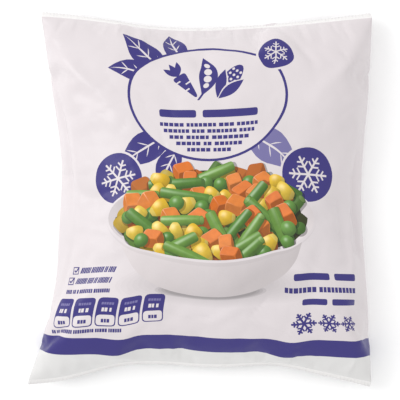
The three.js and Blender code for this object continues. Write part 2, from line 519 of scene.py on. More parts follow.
def pouch_point(x, along, is_front):
    """The film with its bumps, folds and lap, and with its thickness where it nears a seal."""
    places = film_point(x, along, is_front)
    inner = within_film(along, NORMAL_STEP)
    outwards = facing(film_point, x, inner, NORMAL_STEP, NORMAL_STEP, is_front)
    to_side = FILM_WIDTH / 2 - np.abs(x)
    to_end = FILM_LENGTH / 2 - np.abs(along)
    fade = np.clip(to_side / SIDE_FADE, 0, 1) * np.clip(to_end / END_FADE, 0, 1)
    if is_front:
        relief = bump_height(x, along) + fold_height(x, along)
    else:
        relief = -lap_height(x)
    near = np.clip(1 - to_end / BLEND_REACH, 0, 1)
    lift = layer_gap(x) * near**2 * (3 - 2 * near) * (1 if is_front else -1)
    upwards = seal_axes(x, np.sign(along))[1]
    points = places + (relief * fade)[:, None] * outwards + lift[:, None] * upwards
    points[:, 2] = np.maximum(points[:, 2], 0)  # the floor stops what a fold would push down
    return points


def above_floor(z):
    """Heights as they are, but eased where they come near the floor, so that none is below it."""
    return np.where(z > FLOOR_EASE, z, FLOOR_EASE * np.exp(z / FLOOR_EASE - 1))


def seal_point(x, out, end, is_front):
    """A point of a seal, a share out of the way from the pouch to the cut."""
    root = film_point(x, np.full_like(x, end * FILM_LENGTH / 2), True)
    tooth = np.abs((x / TOOTH_PITCH) % 1 - 0.5) * 2 - 0.5
    reach = out * (SEAL_DEPTH + TOOTH_DEPTH * tooth)
    outwards, upwards = seal_axes(x, end)
    fade = np.clip(np.minimum(out, 1 - out) * RIB_FADE, 0, 1)
    rib = RIB_HEIGHT * np.sin(2 * np.pi * reach / RIB_PITCH) * fade
    layer = layer_gap(x) * np.clip((1 - out) * LAYER_FADE, 0, 1) * (1 if is_front else -1)
    places = root + reach[:, None] * outwards
    share = (root[:, 0] - left_side(root[:, 1])) / (right_side(root[:, 1]) - left_side(root[:, 1]))
    places[:, 0] = between(share, left_side(places[:, 1]), right_side(places[:, 1]))
    points = places + (rib + layer)[:, None] * upwards
    points[:, 2] = above_floor(points[:, 2])
    return points


# %% [markdown]
# ## Ink
#
# The print could be a picture wrapped onto the film, but this one is drawn as shapes, so that
# every edge stays sharp however close one looks. A shape is an outline on the flat film and an ink.
# Shapes are laid over each other in order, as paint is. Two kinds do more than cover: a shade
# only darkens what is under it, and a rounded shape is pictured with light and shadow. For that
# it carries a rounding, a matrix that says how far the pictured surface leans sideways at each place.

# %% Shapes to print
Shape = namedtuple("Shape", "outline ink rounding pictured shade")
SHINE = 0.02
DARKEST = 0.004


def ink(red, green, blue):
    """A colour in screen values, turned into the shares of light that it sends back, less what
    the film's own shine will add."""
    value = np.array([red, green, blue]) / 255
    light = np.where(value <= 0.04045, value / 12.92, ((value + 0.055) / 1.055) ** 2.4)
    return np.maximum(light - SHINE, DARKEST)


def drawn(outline, colour, rounding=None, pictured=1.0):
    """A shape in one colour. How strongly light and shadow show on it counts if it is rounded."""
    return Shape(outline, colour, rounding, 0.0 if rounding is None else pictured, False)


def shade(outline, keeps):
    """Leaves what is under it only a share of its light, and of its pictured light and shadow."""
    return Shape(outline, np.full(3, keeps), None, keeps, True)


WHITE = ink(218, 211, 213)
BARE_WHITE = ink(219, 218, 217)  # below the band, where the film isn't tinted
# painted light: the seals' ink is whiter than the film's, partly because their film is bare and partly
# to make up for the light that the drooping seals turn away from
SEAL_WHITE_WITH_PAINTED_LIGHT = ink(240, 238, 237)
VIOLET = ink(66, 61, 124)
PALE_VIOLET = ink(121, 116, 162)


# %% Outlines
def moved(points, centre, turn=0.0):
    """Points turned by an angle and then shifted."""
    c, s = math.cos(turn), math.sin(turn)
    return np.asarray(points, float) @ np.array([[c, s], [-s, c]]) + centre


def oval(centre, half_width, half_height, turn=0.0, steps=24):
    """The half width times the cosine, and the half height times the sine, of an even turn."""
    angle = np.linspace(0, 2 * np.pi, steps, endpoint=False)
    return moved(np.stack([half_width * np.cos(angle), half_height * np.sin(angle)], -1), centre, turn)


def rounded(corners, radius, steps=4):
    """A polygon with each corner replaced by a quadratic curve, which starts and ends at this
    distance from the corner, or a little short of half way to the next one."""
    corners = np.asarray(corners, float)
    ends = []
    for shift in (1, -1):
        side = np.roll(corners, shift, 0) - corners
        length = np.linalg.norm(side, axis=1, keepdims=True)
        ends.append(corners + side * np.minimum(radius / length, 0.45))
    t = np.linspace(0, 1, steps + 1)[:, None]
    start, corner, end = (place[:, None] for place in (ends[0], corners, ends[1]))
    return ((1 - t) ** 2 * start + 2 * t * (1 - t) * corner + t**2 * end).reshape(-1, 2)


def bar(left, right, bottom, top, radius=0.0):
    """A rectangle between these sides, with rounded corners if it has a radius."""
    corners = [(left, bottom), (right, bottom), (right, top), (left, top)]
    return rounded(corners, radius, 3) if radius else np.array(corners, float)


def leaf_outline(length, width, steps=10):
    """Two arcs that meet in points: each side is half the width times the sine of the way along."""
    t = np.linspace(0, 1, steps + 1)
    side = np.stack([(t - 0.5) * length, width / 2 * np.sin(np.pi * t)], -1)
    return np.vstack([side[:-1] * (1, -1), side[:0:-1]])


# %% Roundings
def egg_rounding(centre, half_width, half_height, turn=0.0, bulge=0.95):
    """Nought at an egg's centre and `bulge` at its outline: the distance from the centre along
    each of the egg's axes, as a share of its half axis, pointing along that axis."""
    c, s = math.cos(turn), math.sin(turn)
    axes = np.array([[c, s], [-s, c]])
    lean = bulge * axes.T @ np.diag([1 / half_width, 1 / half_height]) @ axes
    return np.column_stack([lean, -lean @ centre])


def flat_rounding(lean):
    """A flat face, which leans the same way all over."""
    return np.column_stack([np.zeros((2, 2)), lean])


# %% [markdown]
# ## The label
#
# The front has an oval label over a spray of leaves, with a carrot, a pea pod and a cob in it.
# Bars and blocks stand where a packer would set words.

# %% Leaves and snowflakes
def leaf(centre, length, width, turn, colour):
    """A leaf with a white midrib and side veins."""
    shapes = [drawn(moved(leaf_outline(length, width), centre, turn), colour)]
    rib = leaf_outline(length * 0.94, 0.9, 6)
    shapes.append(drawn(moved(rib, centre, turn), WHITE))
    for place in (-0.24, -0.04, 0.16):
        for side in (-1, 1):
            vein = leaf_outline(width * 0.42, 0.55, 4) + (width * 0.2, 0)
            at_rib = moved([(place * length, 0)], centre, turn)[0]
            shapes.append(drawn(moved(vein, at_rib, turn + side * 0.75), WHITE))
    return shapes


def snowflake(centre, radius, colour, turn=0.0, weight=0.1):
    """Six arms, each with two pairs of short branches. The weight is how thick an arm is, as a
    share of its length."""
    thickness = radius * weight
    shapes = []
    for arm in range(6):
        angle = turn + arm * math.pi / 3
        arm_bar = bar(0, radius, -thickness / 2, thickness / 2)
        shapes.append(drawn(moved(arm_bar, centre, angle), colour))
        for place, length in ((0.42, 0.34), (0.68, 0.26)):
            root = moved([(place * radius, 0)], centre, angle)[0]
            branch = bar(0, length * radius, -thickness * 0.4, thickness * 0.4)
            for side in (-1, 1):
                shapes.append(drawn(moved(branch, root, angle + side * math.pi / 3), colour))
    return shapes


def words(left, right, middle, height, colour, lengths, slant=0.0):
    """Words of this many letters each, with a block for every letter, set to fill a line. A
    slant leans them like italics."""
    widths = [random.uniform(0.7, 1.15, length) for length in lengths]
    gap, space = 0.22, 0.75
    whole = sum(word.sum() + gap * (len(word) - 1) for word in widths) + space * (len(widths) - 1)
    scale = (right - left) / whole
    shapes = []
    for word in widths:
        for width in word * scale:
            block = bar(left, left + width, middle - height / 2, middle + height / 2)
            block[:, 0] += slant * (block[:, 1] - middle)
            shapes.append(drawn(block, colour))
            left += width + gap * scale
        left += (space - gap) * scale
    return shapes


def word_bars(left, right, middle, height, colour, lengths):
    """Bars in place of large words, as long as these numbers are to each other."""
    gap = height * 0.8
    scale = (right - left - gap * (len(lengths) - 1)) / sum(lengths)
    shapes = []
    for length in lengths:
        ends = left, left + length * scale
        shapes.append(drawn(bar(*ends, middle - height / 2, middle + height / 2, height * 0.3), colour))
        left = ends[1] + gap
    return shapes


# %% Emblems
def carrot_emblem():
    """A blunt wedge with three nicks and three leaves."""
    shapes = [drawn(rounded([(-2.7, 3.0), (-0.5, -6.5), (0.5, -6.5), (2.7, 3.0)], 1.5), VIOLET)]
    for x, y in ((-1.6, 1.0), (0.9, -0.9), (-0.9, -2.8)):
        shapes.append(drawn(bar(x - 0.9, x + 0.9, y - 0.25, y + 0.25), WHITE))
    for lean in (-0.5, 0.0, 0.5):
        frond = leaf_outline(5.4, 2.0, 8) + (2.9, 0)
        shapes.append(drawn(moved(frond, (0, 2.6), math.pi / 2 + lean), VIOLET))
    return shapes


def pod_emblem():
    """A leaf shape bent by the square of the distance from its middle, with peas and a stalk."""
    outlines = [leaf_outline(17, 7.2, 14), bar(-10.5, -7.6, -0.45, 0.45, 0.3)]
    for x, radius in ((-4.3, 1.05), (-1.5, 1.5), (1.7, 1.5), (4.6, 1.05)):
        outlines.append(oval((x, 0.2), radius, radius, steps=16))
    for outline in outlines:
        outline[:, 1] += 0.035 * outline[:, 0] ** 2
    return list(map(drawn, outlines, [VIOLET] * 2 + [WHITE] * 4))


def cob_emblem():
    """An oval cob with rows of kernels, between two husks."""
    shapes = [drawn(oval((0, 0.6), 2.7, 6, steps=24), VIOLET)]
    for row in range(5):
        for column in (-1, 0, 1):
            shapes.append(drawn(oval((1.45 * column, 4.2 - 1.75 * row), 0.45, 0.5, steps=8), WHITE))
    for side in (-1, 1):
        foot, angle = (side * 0.3, -7.0), math.pi / 2 - side * 0.33
        for length, width, shift, colour in ((11.3, 4.4, 5.1, WHITE), (10.5, 3.4, 5.0, VIOLET)):
            husk = leaf_outline(length, width) + (shift, 0)
            shapes.append(drawn(moved(husk, foot, angle), colour))
    return shapes


def placed(shapes, centre, turn, size):
    """An emblem enlarged, turned and put in its place."""
    return [shape._replace(outline=moved(shape.outline * size, centre, turn)) for shape in shapes]


# %% Label
LABEL = (-1.5, 44.0)
LABEL_HALF = (35.5, 27.8)
LABEL_LINE = 1.2
TEXT_TOP, TEXT_PITCH, TEXT_HEIGHT = 33.2, 2.9, 1.7
# half the length of each row, and how many letters its words have
TEXT_ROWS = [(22, (5, 7, 3, 5)), (20.5, (6, 3, 7, 4)), (18, (3, 5, 7)), (15, (5, 2, 6)), (10, (5, 4))]

front_print = []
for x, y, length, width, degrees, colour in (
    (-31, 57, 26, 11, 176, VIOLET),
    (-27.5, 66, 28, 12.5, 140, VIOLET),
    (-15, 72, 22, 10.5, 108, VIOLET),
    (-30, 22, 32, 13.5, 214, VIOLET),
    (-20, 14, 24, 11, 244, VIOLET),
    (27, 21, 34, 14.5, -37, PALE_VIOLET),
):
    front_print += leaf((x, y), length, width, math.radians(degrees), colour)
for line, colour in ((0, VIOLET), (LABEL_LINE, WHITE)):
    front_print.append(drawn(oval(LABEL, *np.subtract(LABEL_HALF, line), steps=64), colour))
front_print += placed(carrot_emblem(), (-11.5, 53.5), 0.62, 1.35)
front_print += placed(cob_emblem(), (8.5, 53.5), -0.62, 1.35)
front_print += placed(pod_emblem(), (-0.6, 56.5), 1.5, 1.15)
front_print += word_bars(-23.5, 20.5, 38.4, 3.6, VIOLET, (4, 6))
for row, (half, lengths) in enumerate(TEXT_ROWS):
    middle = TEXT_TOP - TEXT_PITCH * row
    front_print += words(LABEL[0] - half, LABEL[0] + half, middle, TEXT_HEIGHT, VIOLET, lengths)

# %% Discs with snowflakes
for centre, radius, turn in (((-44, 7.5), 11.5, 0.2), ((45, 9.5), 12.5, 0.0), ((29, 64), 7.6, 0.3)):
    for half, colour in ((radius + 1, WHITE), (radius, VIOLET)):
        front_print.append(drawn(oval(centre, half, half, steps=40), colour))
    front_print += snowflake(centre, radius * 0.74, WHITE, turn)

# %% [markdown]
# ## Small print
#
# Two ticked lines, a row of five boxes and a block at the right stand at the foot of the front,
# above a band that runs right round the bag.

# %% Small print
def tick_box(centre, size):
    """A box with a tick in it."""
    half, line = size / 2, size * 0.12
    x, y = centre
    foot = (x - 0.1, y - half * 0.35)
    return [
        drawn(bar(x - half, x + half, y - half, y + half), VIOLET),
        drawn(bar(x - half + line, x + half - line, y - half + line, y + half - line), WHITE),
        drawn(moved(bar(-half * 0.6, 0.1, -line, line * 0.6), foot, -0.8), VIOLET),
        drawn(moved(bar(0, half * 1.5, -line, line * 0.6), foot, 0.95), VIOLET),
    ]


def value_box(centre, width, height):
    """A rounded box, dark above with two pale rows, and white below with a dark one."""
    x, y = centre
    left, right, bottom, top = x - width / 2, x + width / 2, y - height / 2, y + height / 2
    line, split = 0.5, bottom + height * 0.4
    field = [(left + line, bottom + line), (right - line, bottom + line)]
    field += [(right - line, split), (left + line, split)]
    return [
        drawn(bar(left, right, bottom, top, 1.9), VIOLET),
        drawn(rounded(field, 1.6), WHITE),
        *words(x - width * 0.3, x + width * 0.3, top - 2.7, 1.1, PALE_VIOLET, (5,)),
        *words(x - width * 0.24, x + width * 0.24, top - 5.6, 1.8, WHITE, (2, 1)),
        *words(x - width * 0.2, x + width * 0.2, bottom + 2.6, 1.7, VIOLET, (3,)),
    ]


BOX_START, BOX_PITCH, BOX_SIZE = (-65, -53), 10.2, (9.2, 13.4)
for x, y, lengths in ((-63.5, -33.6, (6, 7, 2, 4)), (-65, -38.4, (7, 4, 2, 7, 1))):
    front_print += tick_box((x, y), 3.4)
    front_print += words(x + 3.0, x + 20, y, 2.6, VIOLET, lengths, slant=0.35)
front_print += words(-66.5, -45, -43.2, 1.8, VIOLET, (4, 2, 1, 7, 8))
for number in range(5):
    front_print += value_box((BOX_START[0] + number * BOX_PITCH, BOX_START[1]), *BOX_SIZE)
front_print += words(-71, -37.5, -61.7, 1.8, VIOLET, (2, 2, 7, 9, 5, 6))

front_print += word_bars(37, 68, -37.2, 3.2, VIOLET, (6, 4))
front_print += words(33, 68, -43.2, 2.4, VIOLET, (7, 10))
front_print += word_bars(41, 68, -48.8, 2.8, VIOLET, (4, 5))
for x, radius in ((42, 5.6), (53, 4.8), (62, 4.0)):
    front_print += snowflake((x, -58.8), radius, VIOLET, weight=0.17)

# %% Band
BAND = (-75.4, -66.6)
BAND_SWAY = ([-80, -60, -40, 0, 40, 80], [3.4, 2.0, 0.4, -0.9, -0.9, 0.0])  # how askew it lies
BAND_STEPS = 80
half_film = FILM_WIDTH / 2
band_sway = curve_through(*BAND_SWAY)


def across_film(height):
    """A line across the front at this height, with the band's sway."""
    x = np.linspace(-half_film, half_film, BAND_STEPS + 1)
    return np.stack([x, height + band_sway(x)], -1)


band_outline = np.vstack([across_film(BAND[0]), across_film(BAND[1])[::-1]])
film_end = [(half_film, -FILM_LENGTH / 2), (-half_film, -FILM_LENGTH / 2)]
bare_outline = np.vstack([across_film(BAND[0])[::-1], film_end[::-1]])
foot = [drawn(bare_outline, BARE_WHITE), drawn(band_outline, VIOLET)]
front_print += foot
print("shapes for the label, small print and band:", len(front_print))

# %% [markdown]
# ## A bowl in print
#
# The middle of the front pictures a white bowl. It is seen from a little above, so its rim is an
# ellipse. What is inside is laid first, and the front of the bowl last, over it. The light in
# the picture comes from the upper left, like the light on the bag.

# %% Bowl outlines
RIM = (0.0, -10.4)
RIM_HALF = (49.0, 19.2)
BOWL_DEPTH = 36.4
BOWL_WHITE = ink(222, 214, 215)
WALL_POWER = 0.9
WALL_TUCK = 0.06  # how far the wall draws in half way down, as a share of its width
FRONT_START = 0.55  # the angle round the rim at which the wall leaves it


def rim_front(half_width, half_height, start=0.0, steps=40):
    """The near half of the rim's ellipse, from its left tip, or this angle on, to its right one."""
    angle = np.linspace(np.pi + start, 2 * np.pi - start, steps)
    return np.stack([half_width * np.cos(angle), half_height * np.sin(angle)], -1) + RIM


def right_wall(corner, steps=24):
    """The bowl's right outline from a point of the rim to the bottom: the quarter of an ellipse
    whose sine and cosine are raised to a power below one, which squares its shoulder."""
    angle = np.linspace(0, np.pi / 2, steps)
    across, down = np.cos(angle) ** WALL_POWER, np.sin(angle) ** WALL_POWER
    x = (corner[0] - RIM[0]) * (across - WALL_TUCK * np.sin(np.pi * down))
    return np.stack([RIM[0] + x, corner[1] - (BOWL_DEPTH + corner[1] - RIM[1]) * down], -1)


front_edge = rim_front(*RIM_HALF, start=FRONT_START)
wall = right_wall(front_edge[-1])
bowl_front = np.vstack([front_edge, wall[1:], (wall[::-1] - RIM) * (-1, 1) + RIM])[:-1]


def below_rim(thickness):
    """A crescent along the near half of the rim, this thick in the middle."""
    outer = rim_front(RIM_HALF[0], RIM_HALF[1] + thickness)
    return np.vstack([rim_front(*RIM_HALF), outer[-2:0:-1]])


def soft_shade(centre, half_width, half_height, sizes, keeps, steps):
    """Shades over each other in the middle and fewer towards the edge, one for each size."""
    ovals = (oval(centre, half_width * size, half_height * size, steps=steps) for size in sizes)
    return [shade(outline, keeps) for outline in ovals]


body_rounding = egg_rounding(np.add(RIM, (-6, -10)), RIM_HALF[0] * 1.1, BOWL_DEPTH * 0.95, bulge=0.9)
wall_rounding = egg_rounding(RIM, RIM_HALF[0] * 1.3, RIM_HALF[1] * 1.3, bulge=-0.8)

bowl_foot = RIM[1] - BOWL_DEPTH
bowl_shadow = soft_shade((3, bowl_foot + 6), 46, 11, np.linspace(1, 0.55, 9), 0.972, 36)
bowl_shadow += soft_shade((0, bowl_foot + 2.4), 25, 3.9, (1, 0.94, 0.88, 0.82), 0.87, 30)

# %% [markdown]
# ## Vegetables in print
#
# Four kinds lie in the bowl: carrot dice, peas, cut beans and corn. Each function draws one as
# a few shapes, its outline first. Nothing is placed by hand: the heap is a loose triangular
# grid of places, and chance picks the kind, the size and the turn.

# %% One of each
CARROT = ink(243, 128, 48), ink(250, 150, 72)
PEA = ink(104, 156, 70), ink(128, 178, 90)
BEAN = ink(100, 150, 66), ink(138, 182, 86)
BEAN_CUT = ink(146, 186, 98)
CORN = ink(252, 204, 52), ink(255, 222, 88)
CORN_TIP = ink(255, 226, 112)
CARROT_SIZE, CARROT_TIP = 7.6, 0.45  # the edge of a cube, and how far it may be tipped
BEVEL, FACE_SHARE = 1.5, 0.92
PEA_RADII = (2.9, 3.6)
BEAN_HALF_LENGTHS, BEAN_HALF_WIDTHS = (7.5, 12.5), (2.4, 3.0)
CUT_SHOWS = 0.45  # the share of beans that show a cut end
KERNEL_SIZES = (0.95, 1.25)
VIEW_DOWN = math.radians(42)  # how far down the pictured view looks
chance = np.random.default_rng(7)


def between_inks(pair):
    """A colour somewhere between two."""
    return between(chance.uniform(), *pair)


def carrot(centre):
    """A cube, turned any way round the vertical and tipped a little. We see the three faces that
    point our way, over an outline of all eight corners that shows as their bevels."""
    sizes = CARROT_SIZE * chance.uniform(0.75, 1.12, 3) / 2
    spin = Matrix.Rotation(chance.uniform(0, math.pi / 2), 3, "Y")
    tip = Matrix.Rotation(chance.uniform(-CARROT_TIP, CARROT_TIP), 3, "Z")
    turned = np.array(Matrix.Rotation(VIEW_DOWN, 3, "X") @ tip @ spin)
    signs = np.array([(x, y, z) for x in (-1, 1) for y in (-1, 1) for z in (-1, 1)])
    corners = (signs * sizes) @ turned.T
    colour = between_inks(CARROT)
    hull = convex_hull_2d(corners[:, :2].tolist())
    outline = rounded(corners[hull, :2] + centre, BEVEL)
    shapes = [drawn(outline, colour, egg_rounding(centre, 9, 9, bulge=0.5))]
    for axis in range(3):
        side = 1 if turned[2, axis] > 0 else -1
        face = corners[signs[:, axis] == side][[0, 1, 3, 2], :2]
        middle = face.mean(0)
        face = rounded(middle + (face - middle) * FACE_SHARE, 0.7, 3) + centre
        shapes.append(drawn(face, colour, flat_rounding(turned[:2, axis] * side * 0.9)))
    return shapes


def pea(centre):
    """A ball, a trace flattened."""
    radius = chance.uniform(*PEA_RADII)
    outline = oval(centre, radius, radius * 0.97, steps=20)
    return [drawn(outline, between_inks(PEA), egg_rounding(centre, radius, radius))]


def bean(centre):
    """A length of a pod: rounded across and straight along, with a seam, and often a cut end."""
    half_length, half_width = chance.uniform(*BEAN_HALF_LENGTHS), chance.uniform(*BEAN_HALF_WIDTHS)
    turn = chance.uniform(-1.25, 1.25)
    bow = chance.uniform(-0.7, 0.7)
    left, right = half_width * 0.92, half_width * 0.86
    under = [(-half_length, -left), (0, bow - half_width), (half_length, -right)]
    over = [(half_length, right), (0, bow + half_width), (-half_length, left)]
    colour = between_inks(BEAN)
    rounding = egg_rounding(centre, half_length * 5, half_width * 1.04, turn)
    seam = bar(-half_length * 0.9, half_length * 0.8, 0.2 * half_width, 0.2 * half_width + 0.45)
    end = moved([(half_length * chance.choice([-1, 1]), 0)], centre, turn)[0]
    shapes = [
        drawn(moved(rounded(under + over, 1.5), centre, turn), colour, rounding),
        drawn(moved(seam, centre, turn), colour * 1.15, rounding),
    ]
    if chance.uniform() < CUT_SHOWS:
        shapes.append(drawn(oval(end, 1.2, half_width * 0.88, turn, 14), colour * 0.85, rounding))
        shapes.append(drawn(oval(end, 0.9, half_width * 0.68, turn, 12), BEAN_CUT, rounding))
    return shapes


def corn(centre):
    """A kernel: a blunt wedge with a pale tip where it left the cob, and a dimpled crown."""
    size = chance.uniform(*KERNEL_SIZES)
    turn = chance.uniform(0, 2 * math.pi)
    body = np.array([(-1.5, -3.9), (1.5, -3.9), (3.5, 0.8), (2.8, 3.6), (-2.8, 3.6), (-3.5, 0.8)]) * size
    tip = np.array([(-1.3, -3.8), (1.3, -3.8), (1.9, -2.3), (-1.9, -2.3)]) * size
    dimple = oval((0, 1.6 * size), 1.5 * size, 0.7 * size, steps=10)
    rounding = egg_rounding(centre, 4.1 * size, 4.5 * size, turn, bulge=0.85)
    colour = between_inks(CORN)
    return [
        drawn(moved(rounded(body, 1.9 * size), centre, turn), colour, rounding),
        drawn(moved(rounded(tip, 0.6), centre, turn), CORN_TIP, rounding),
        drawn(moved(dimple, centre, turn), colour * 0.93, rounding),
    ]


# %% Fill the bowl
HEAP_HALF_WIDTH = 45.0
FRONT_HALF_WIDTH = 48.0
HEAP_RISE = 24.5
HEAP_ROWS, HEAP_COLUMNS = np.arange(-5, 8)[:, None], np.arange(-8, 9)[None, :]
PLACE_GAP = 6.7
ROW_GAP = PLACE_GAP * 0.82
SHAKE = 1.6  # how far a place may be from its grid point, each way
DEPTH_SHAKE = 3.0  # and by how much a piece may lie before one that is nearer
TRIES = 12
UPPER_LIGHT, UNDER_LIGHT = 0.75, 0.47  # how much light reaches the two layers
CAST_SPREAD = 1.1  # a cast shadow is this much larger than its piece
CAST_SHIFT = (0.5, -0.8)
CAST_KEEPS = 0.48
RIM_GAP = 1.5
HEAP_OVER = 3.5  # how far a piece may rise above the heap
HEAP_BASE = ink(62, 66, 26)
BASE_WIDTH, BASE_DROP = 0.93, 2.0  # the base's share of the heap's width, and its lower top
# each kind as often as it should come up
KINDS = (carrot, bean, corn, pea, carrot, corn, bean, carrot, pea, corn, bean, carrot, corn, pea)


def heap_half(y):
    """Half the heap's width and height: it is two half ellipses, a tall one behind the rim's
    middle and one that fills the rim before it."""
    behind = y > RIM[1]
    half_width = np.where(behind, HEAP_HALF_WIDTH, FRONT_HALF_WIDTH)
    return half_width, np.where(behind, HEAP_RISE, RIM_HALF[1])


def heap_places(shift, margin):
    """Places on a shaken triangular grid that are inside the heap, the farthest first. The margin
    is a share of the heap that stays free at its far edge."""
    x = (HEAP_COLUMNS + 0.5 * (HEAP_ROWS % 2) + shift) * PLACE_GAP
    y = RIM[1] + (HEAP_ROWS + shift) * ROW_GAP + 0 * HEAP_COLUMNS
    places = np.stack([x, y], -1).reshape(-1, 2)
    places += chance.uniform(-SHAKE, SHAKE, places.shape)
    x, y = places.T
    edge = np.where(y > RIM[1], 1 - margin, 1.0)
    half_width, half_height = heap_half(y)
    inside = np.hypot(x / half_width, (y - RIM[1]) / half_height) < edge
    places = places[inside]
    return places[np.argsort(-places[:, 1] - chance.uniform(-DEPTH_SHAKE, DEPTH_SHAKE, len(places)))]


def dimmed(shape, light):
    """A shape that only a share of the light reaches."""
    return shape._replace(ink=shape.ink * light, pictured=shape.pictured * light / UPPER_LIGHT)


def stays_in(outline):
    """Whether no point of a piece is far out of the heap, or before the rim and not hidden by
    the front of the bowl."""
    x, y = outline.T - np.array(RIM)[:, None]
    over_rim = np.hypot(x / (RIM_HALF[0] - RIM_GAP), y / (HEAP_RISE + HEAP_OVER)) < 1
    in_rim = np.hypot(x / (RIM_HALF[0] - RIM_GAP), y / (RIM_HALF[1] - 1)) < 1
    hidden = np.abs(x) < np.interp(y + RIM[1], wall[::-1, 1], wall[::-1, 0]) - 0.5
    return np.where(y > 0, over_rim, in_rim | hidden).all()


def heap_layer(places, light):
    """One of the kinds at each place, each with the shadow that it casts to the lower right. A
    piece that sticks out is drawn again, smaller or turned another way, or else left out."""
    kinds = chance.permutation(np.resize(np.arange(len(KINDS)), len(places)))
    shapes = []
    for centre, kind in zip(places, kinds):
        tries = (KINDS[kind](centre) for _ in range(TRIES))
        pieces = next((tried for tried in tries if stays_in(tried[0].outline)), None)
        if pieces is None:
            continue
        cast = centre + (pieces[0].outline - centre) * CAST_SPREAD + CAST_SHIFT
        shapes.append(shade(cast, CAST_KEEPS))
        shapes += [dimmed(piece, light) for piece in pieces]
    return shapes


heap_outline = oval(RIM, 1, 1, steps=60)
heap_outline = RIM + (heap_outline - RIM) * np.stack(heap_half(heap_outline[:, 1]), -1)
heap_outline[:, 0] *= BASE_WIDTH
above_rim = np.maximum(heap_outline[:, 1] - RIM[1], 0)
heap_outline[:, 1] -= BASE_DROP * above_rim / HEAP_RISE

inner_rim = oval(RIM, RIM_HALF[0] - 1.0, RIM_HALF[1] - 0.7, steps=72)
front_print += [
    *bowl_shadow,
    drawn(oval(RIM, *RIM_HALF, steps=72), WHITE),
    drawn(inner_rim, BOWL_WHITE, wall_rounding, 0.6),
    drawn(heap_outline, HEAP_BASE),
]
heap = heap_layer(heap_places(shift=0.4, margin=0.08), UNDER_LIGHT)
heap += heap_layer(heap_places(shift=0.0, margin=0.06), UPPER_LIGHT)
front_print += heap
print("shapes for the vegetables:", len(heap))
front_print += [
    drawn(bowl_front, BOWL_WHITE, body_rounding, 0.5),
    shade(below_rim(3.0), 0.93),
    drawn(below_rim(1.2), WHITE),
]

# %% [markdown]
# ## The back
#
# Nothing shows the back of the bag. It gets what such bags have there: the band, a block of small
# print at the left of the lap, and a table at the right.

# %% Back print
SMALL_ROWS = 11
TABLE_LEFT, TABLE_RIGHT, TABLE_BOTTOM, TABLE_TOP = 16, 66, -12, 52
TABLE_ROWS = 9
TABLE_PITCH = (TABLE_TOP - TABLE_BOTTOM) / TABLE_ROWS
TABLE_LINE = 0.5

back_print = list(foot)
back_print += words(-62, -26, 58, 4, VIOLET, (7, 9))
for row in range(SMALL_ROWS):
    lengths = random.integers(2, 9, 6)
    right = -14 if row % 4 < 3 else random.uniform(-40, -20)
    back_print += words(-62, right, 50 - 3.4 * row - 3 * (row // 4), 1.2, VIOLET, lengths)
back_print += [drawn(oval((x, -8), 8, 8, steps=32), VIOLET) for x in (-50, -28)]
back_print += snowflake((-50, -8), 6, WHITE) + snowflake((-28, -8), 6, WHITE, 0.3)
back_print.append(drawn(bar(TABLE_LEFT, TABLE_RIGHT, TABLE_BOTTOM, TABLE_TOP), VIOLET))
cell_sides = TABLE_LEFT + TABLE_LINE, TABLE_RIGHT - TABLE_LINE
for row in range(TABLE_ROWS - 1):
    bottom = TABLE_BOTTOM + row * TABLE_PITCH
    back_print.append(drawn(bar(*cell_sides, bottom + TABLE_LINE, bottom + TABLE_PITCH), WHITE))
    name_end = TABLE_LEFT + random.uniform(15, 24)
    back_print += words(TABLE_LEFT + 3, name_end, bottom + 3.8, 1.4, VIOLET, (3, 4))
    back_print += words(TABLE_RIGHT - 12, TABLE_RIGHT - 3, bottom + 3.8, 1.4, VIOLET, (1,))
back_print += words(TABLE_LEFT + 3, TABLE_LEFT + 24, TABLE_TOP - 3.6, 2, WHITE, (5, 4))
print("shapes on the back:", len(back_print))

# %% [markdown]
# ## One skin
#
# The front and back are triangulated in the flat, together with every printed outline, so that
# each edge of the print is an edge of the mesh. Then they are carried to where the film has
# settled. A triangle takes the ink of the last shape over it, dimmed by any shade laid later.

# %% Triangulate the film
FILM_STEP = 1.6
OUTLINE_STEP = 2.2
WHOLE_HULL, SAME_POINT = 0, 1e-5  # what is triangulated, and how near two points are one
FINE_STEP = TOOTH_PITCH / 2  # along the seals, a point for each tip and root of the teeth
SEAL_STEPS = 20


def grid_line(length, step):
    """Even places from end to end, in single precision, as the triangulation will return them."""
    places = np.linspace(-length / 2, length / 2, round(length / step) + 1)
    return places.astype(np.float32).astype(float)


film_x, film_y = grid_line(FILM_WIDTH, FILM_STEP), grid_line(FILM_LENGTH, FILM_STEP)
fine_x = grid_line(FILM_WIDTH, FINE_STEP)
lap_edges = LAP_MIDDLE + np.array([-1, 1])[:, None] * (LAP_HALF_WIDTH, LAP_HALF_WIDTH + LAP_STEP)


def sheet_points(is_front):
    """Where the flat film gets points: a grid, with closer ones along both seals and the lap."""
    grid = np.stack(np.meshgrid(film_x, film_y[1:-1]), -1).reshape(-1, 2)
    ends = np.stack(np.meshgrid(fine_x, film_y[[0, -1]]), -1).reshape(-1, 2)
    lap = np.stack(np.meshgrid(lap_edges.ravel(), film_y[1:-1]), -1).reshape(-1, 2)
    return np.vstack([grid, ends] if is_front else [grid, ends, lap])


def anticlockwise(outline):
    """Its points in the order whose area, half the sum of the cross products, comes out positive."""
    x, y = outline.T
    area = (x * np.roll(y, -1) - y * np.roll(x, -1)).sum()
    return outline if area > 0 else outline[::-1]


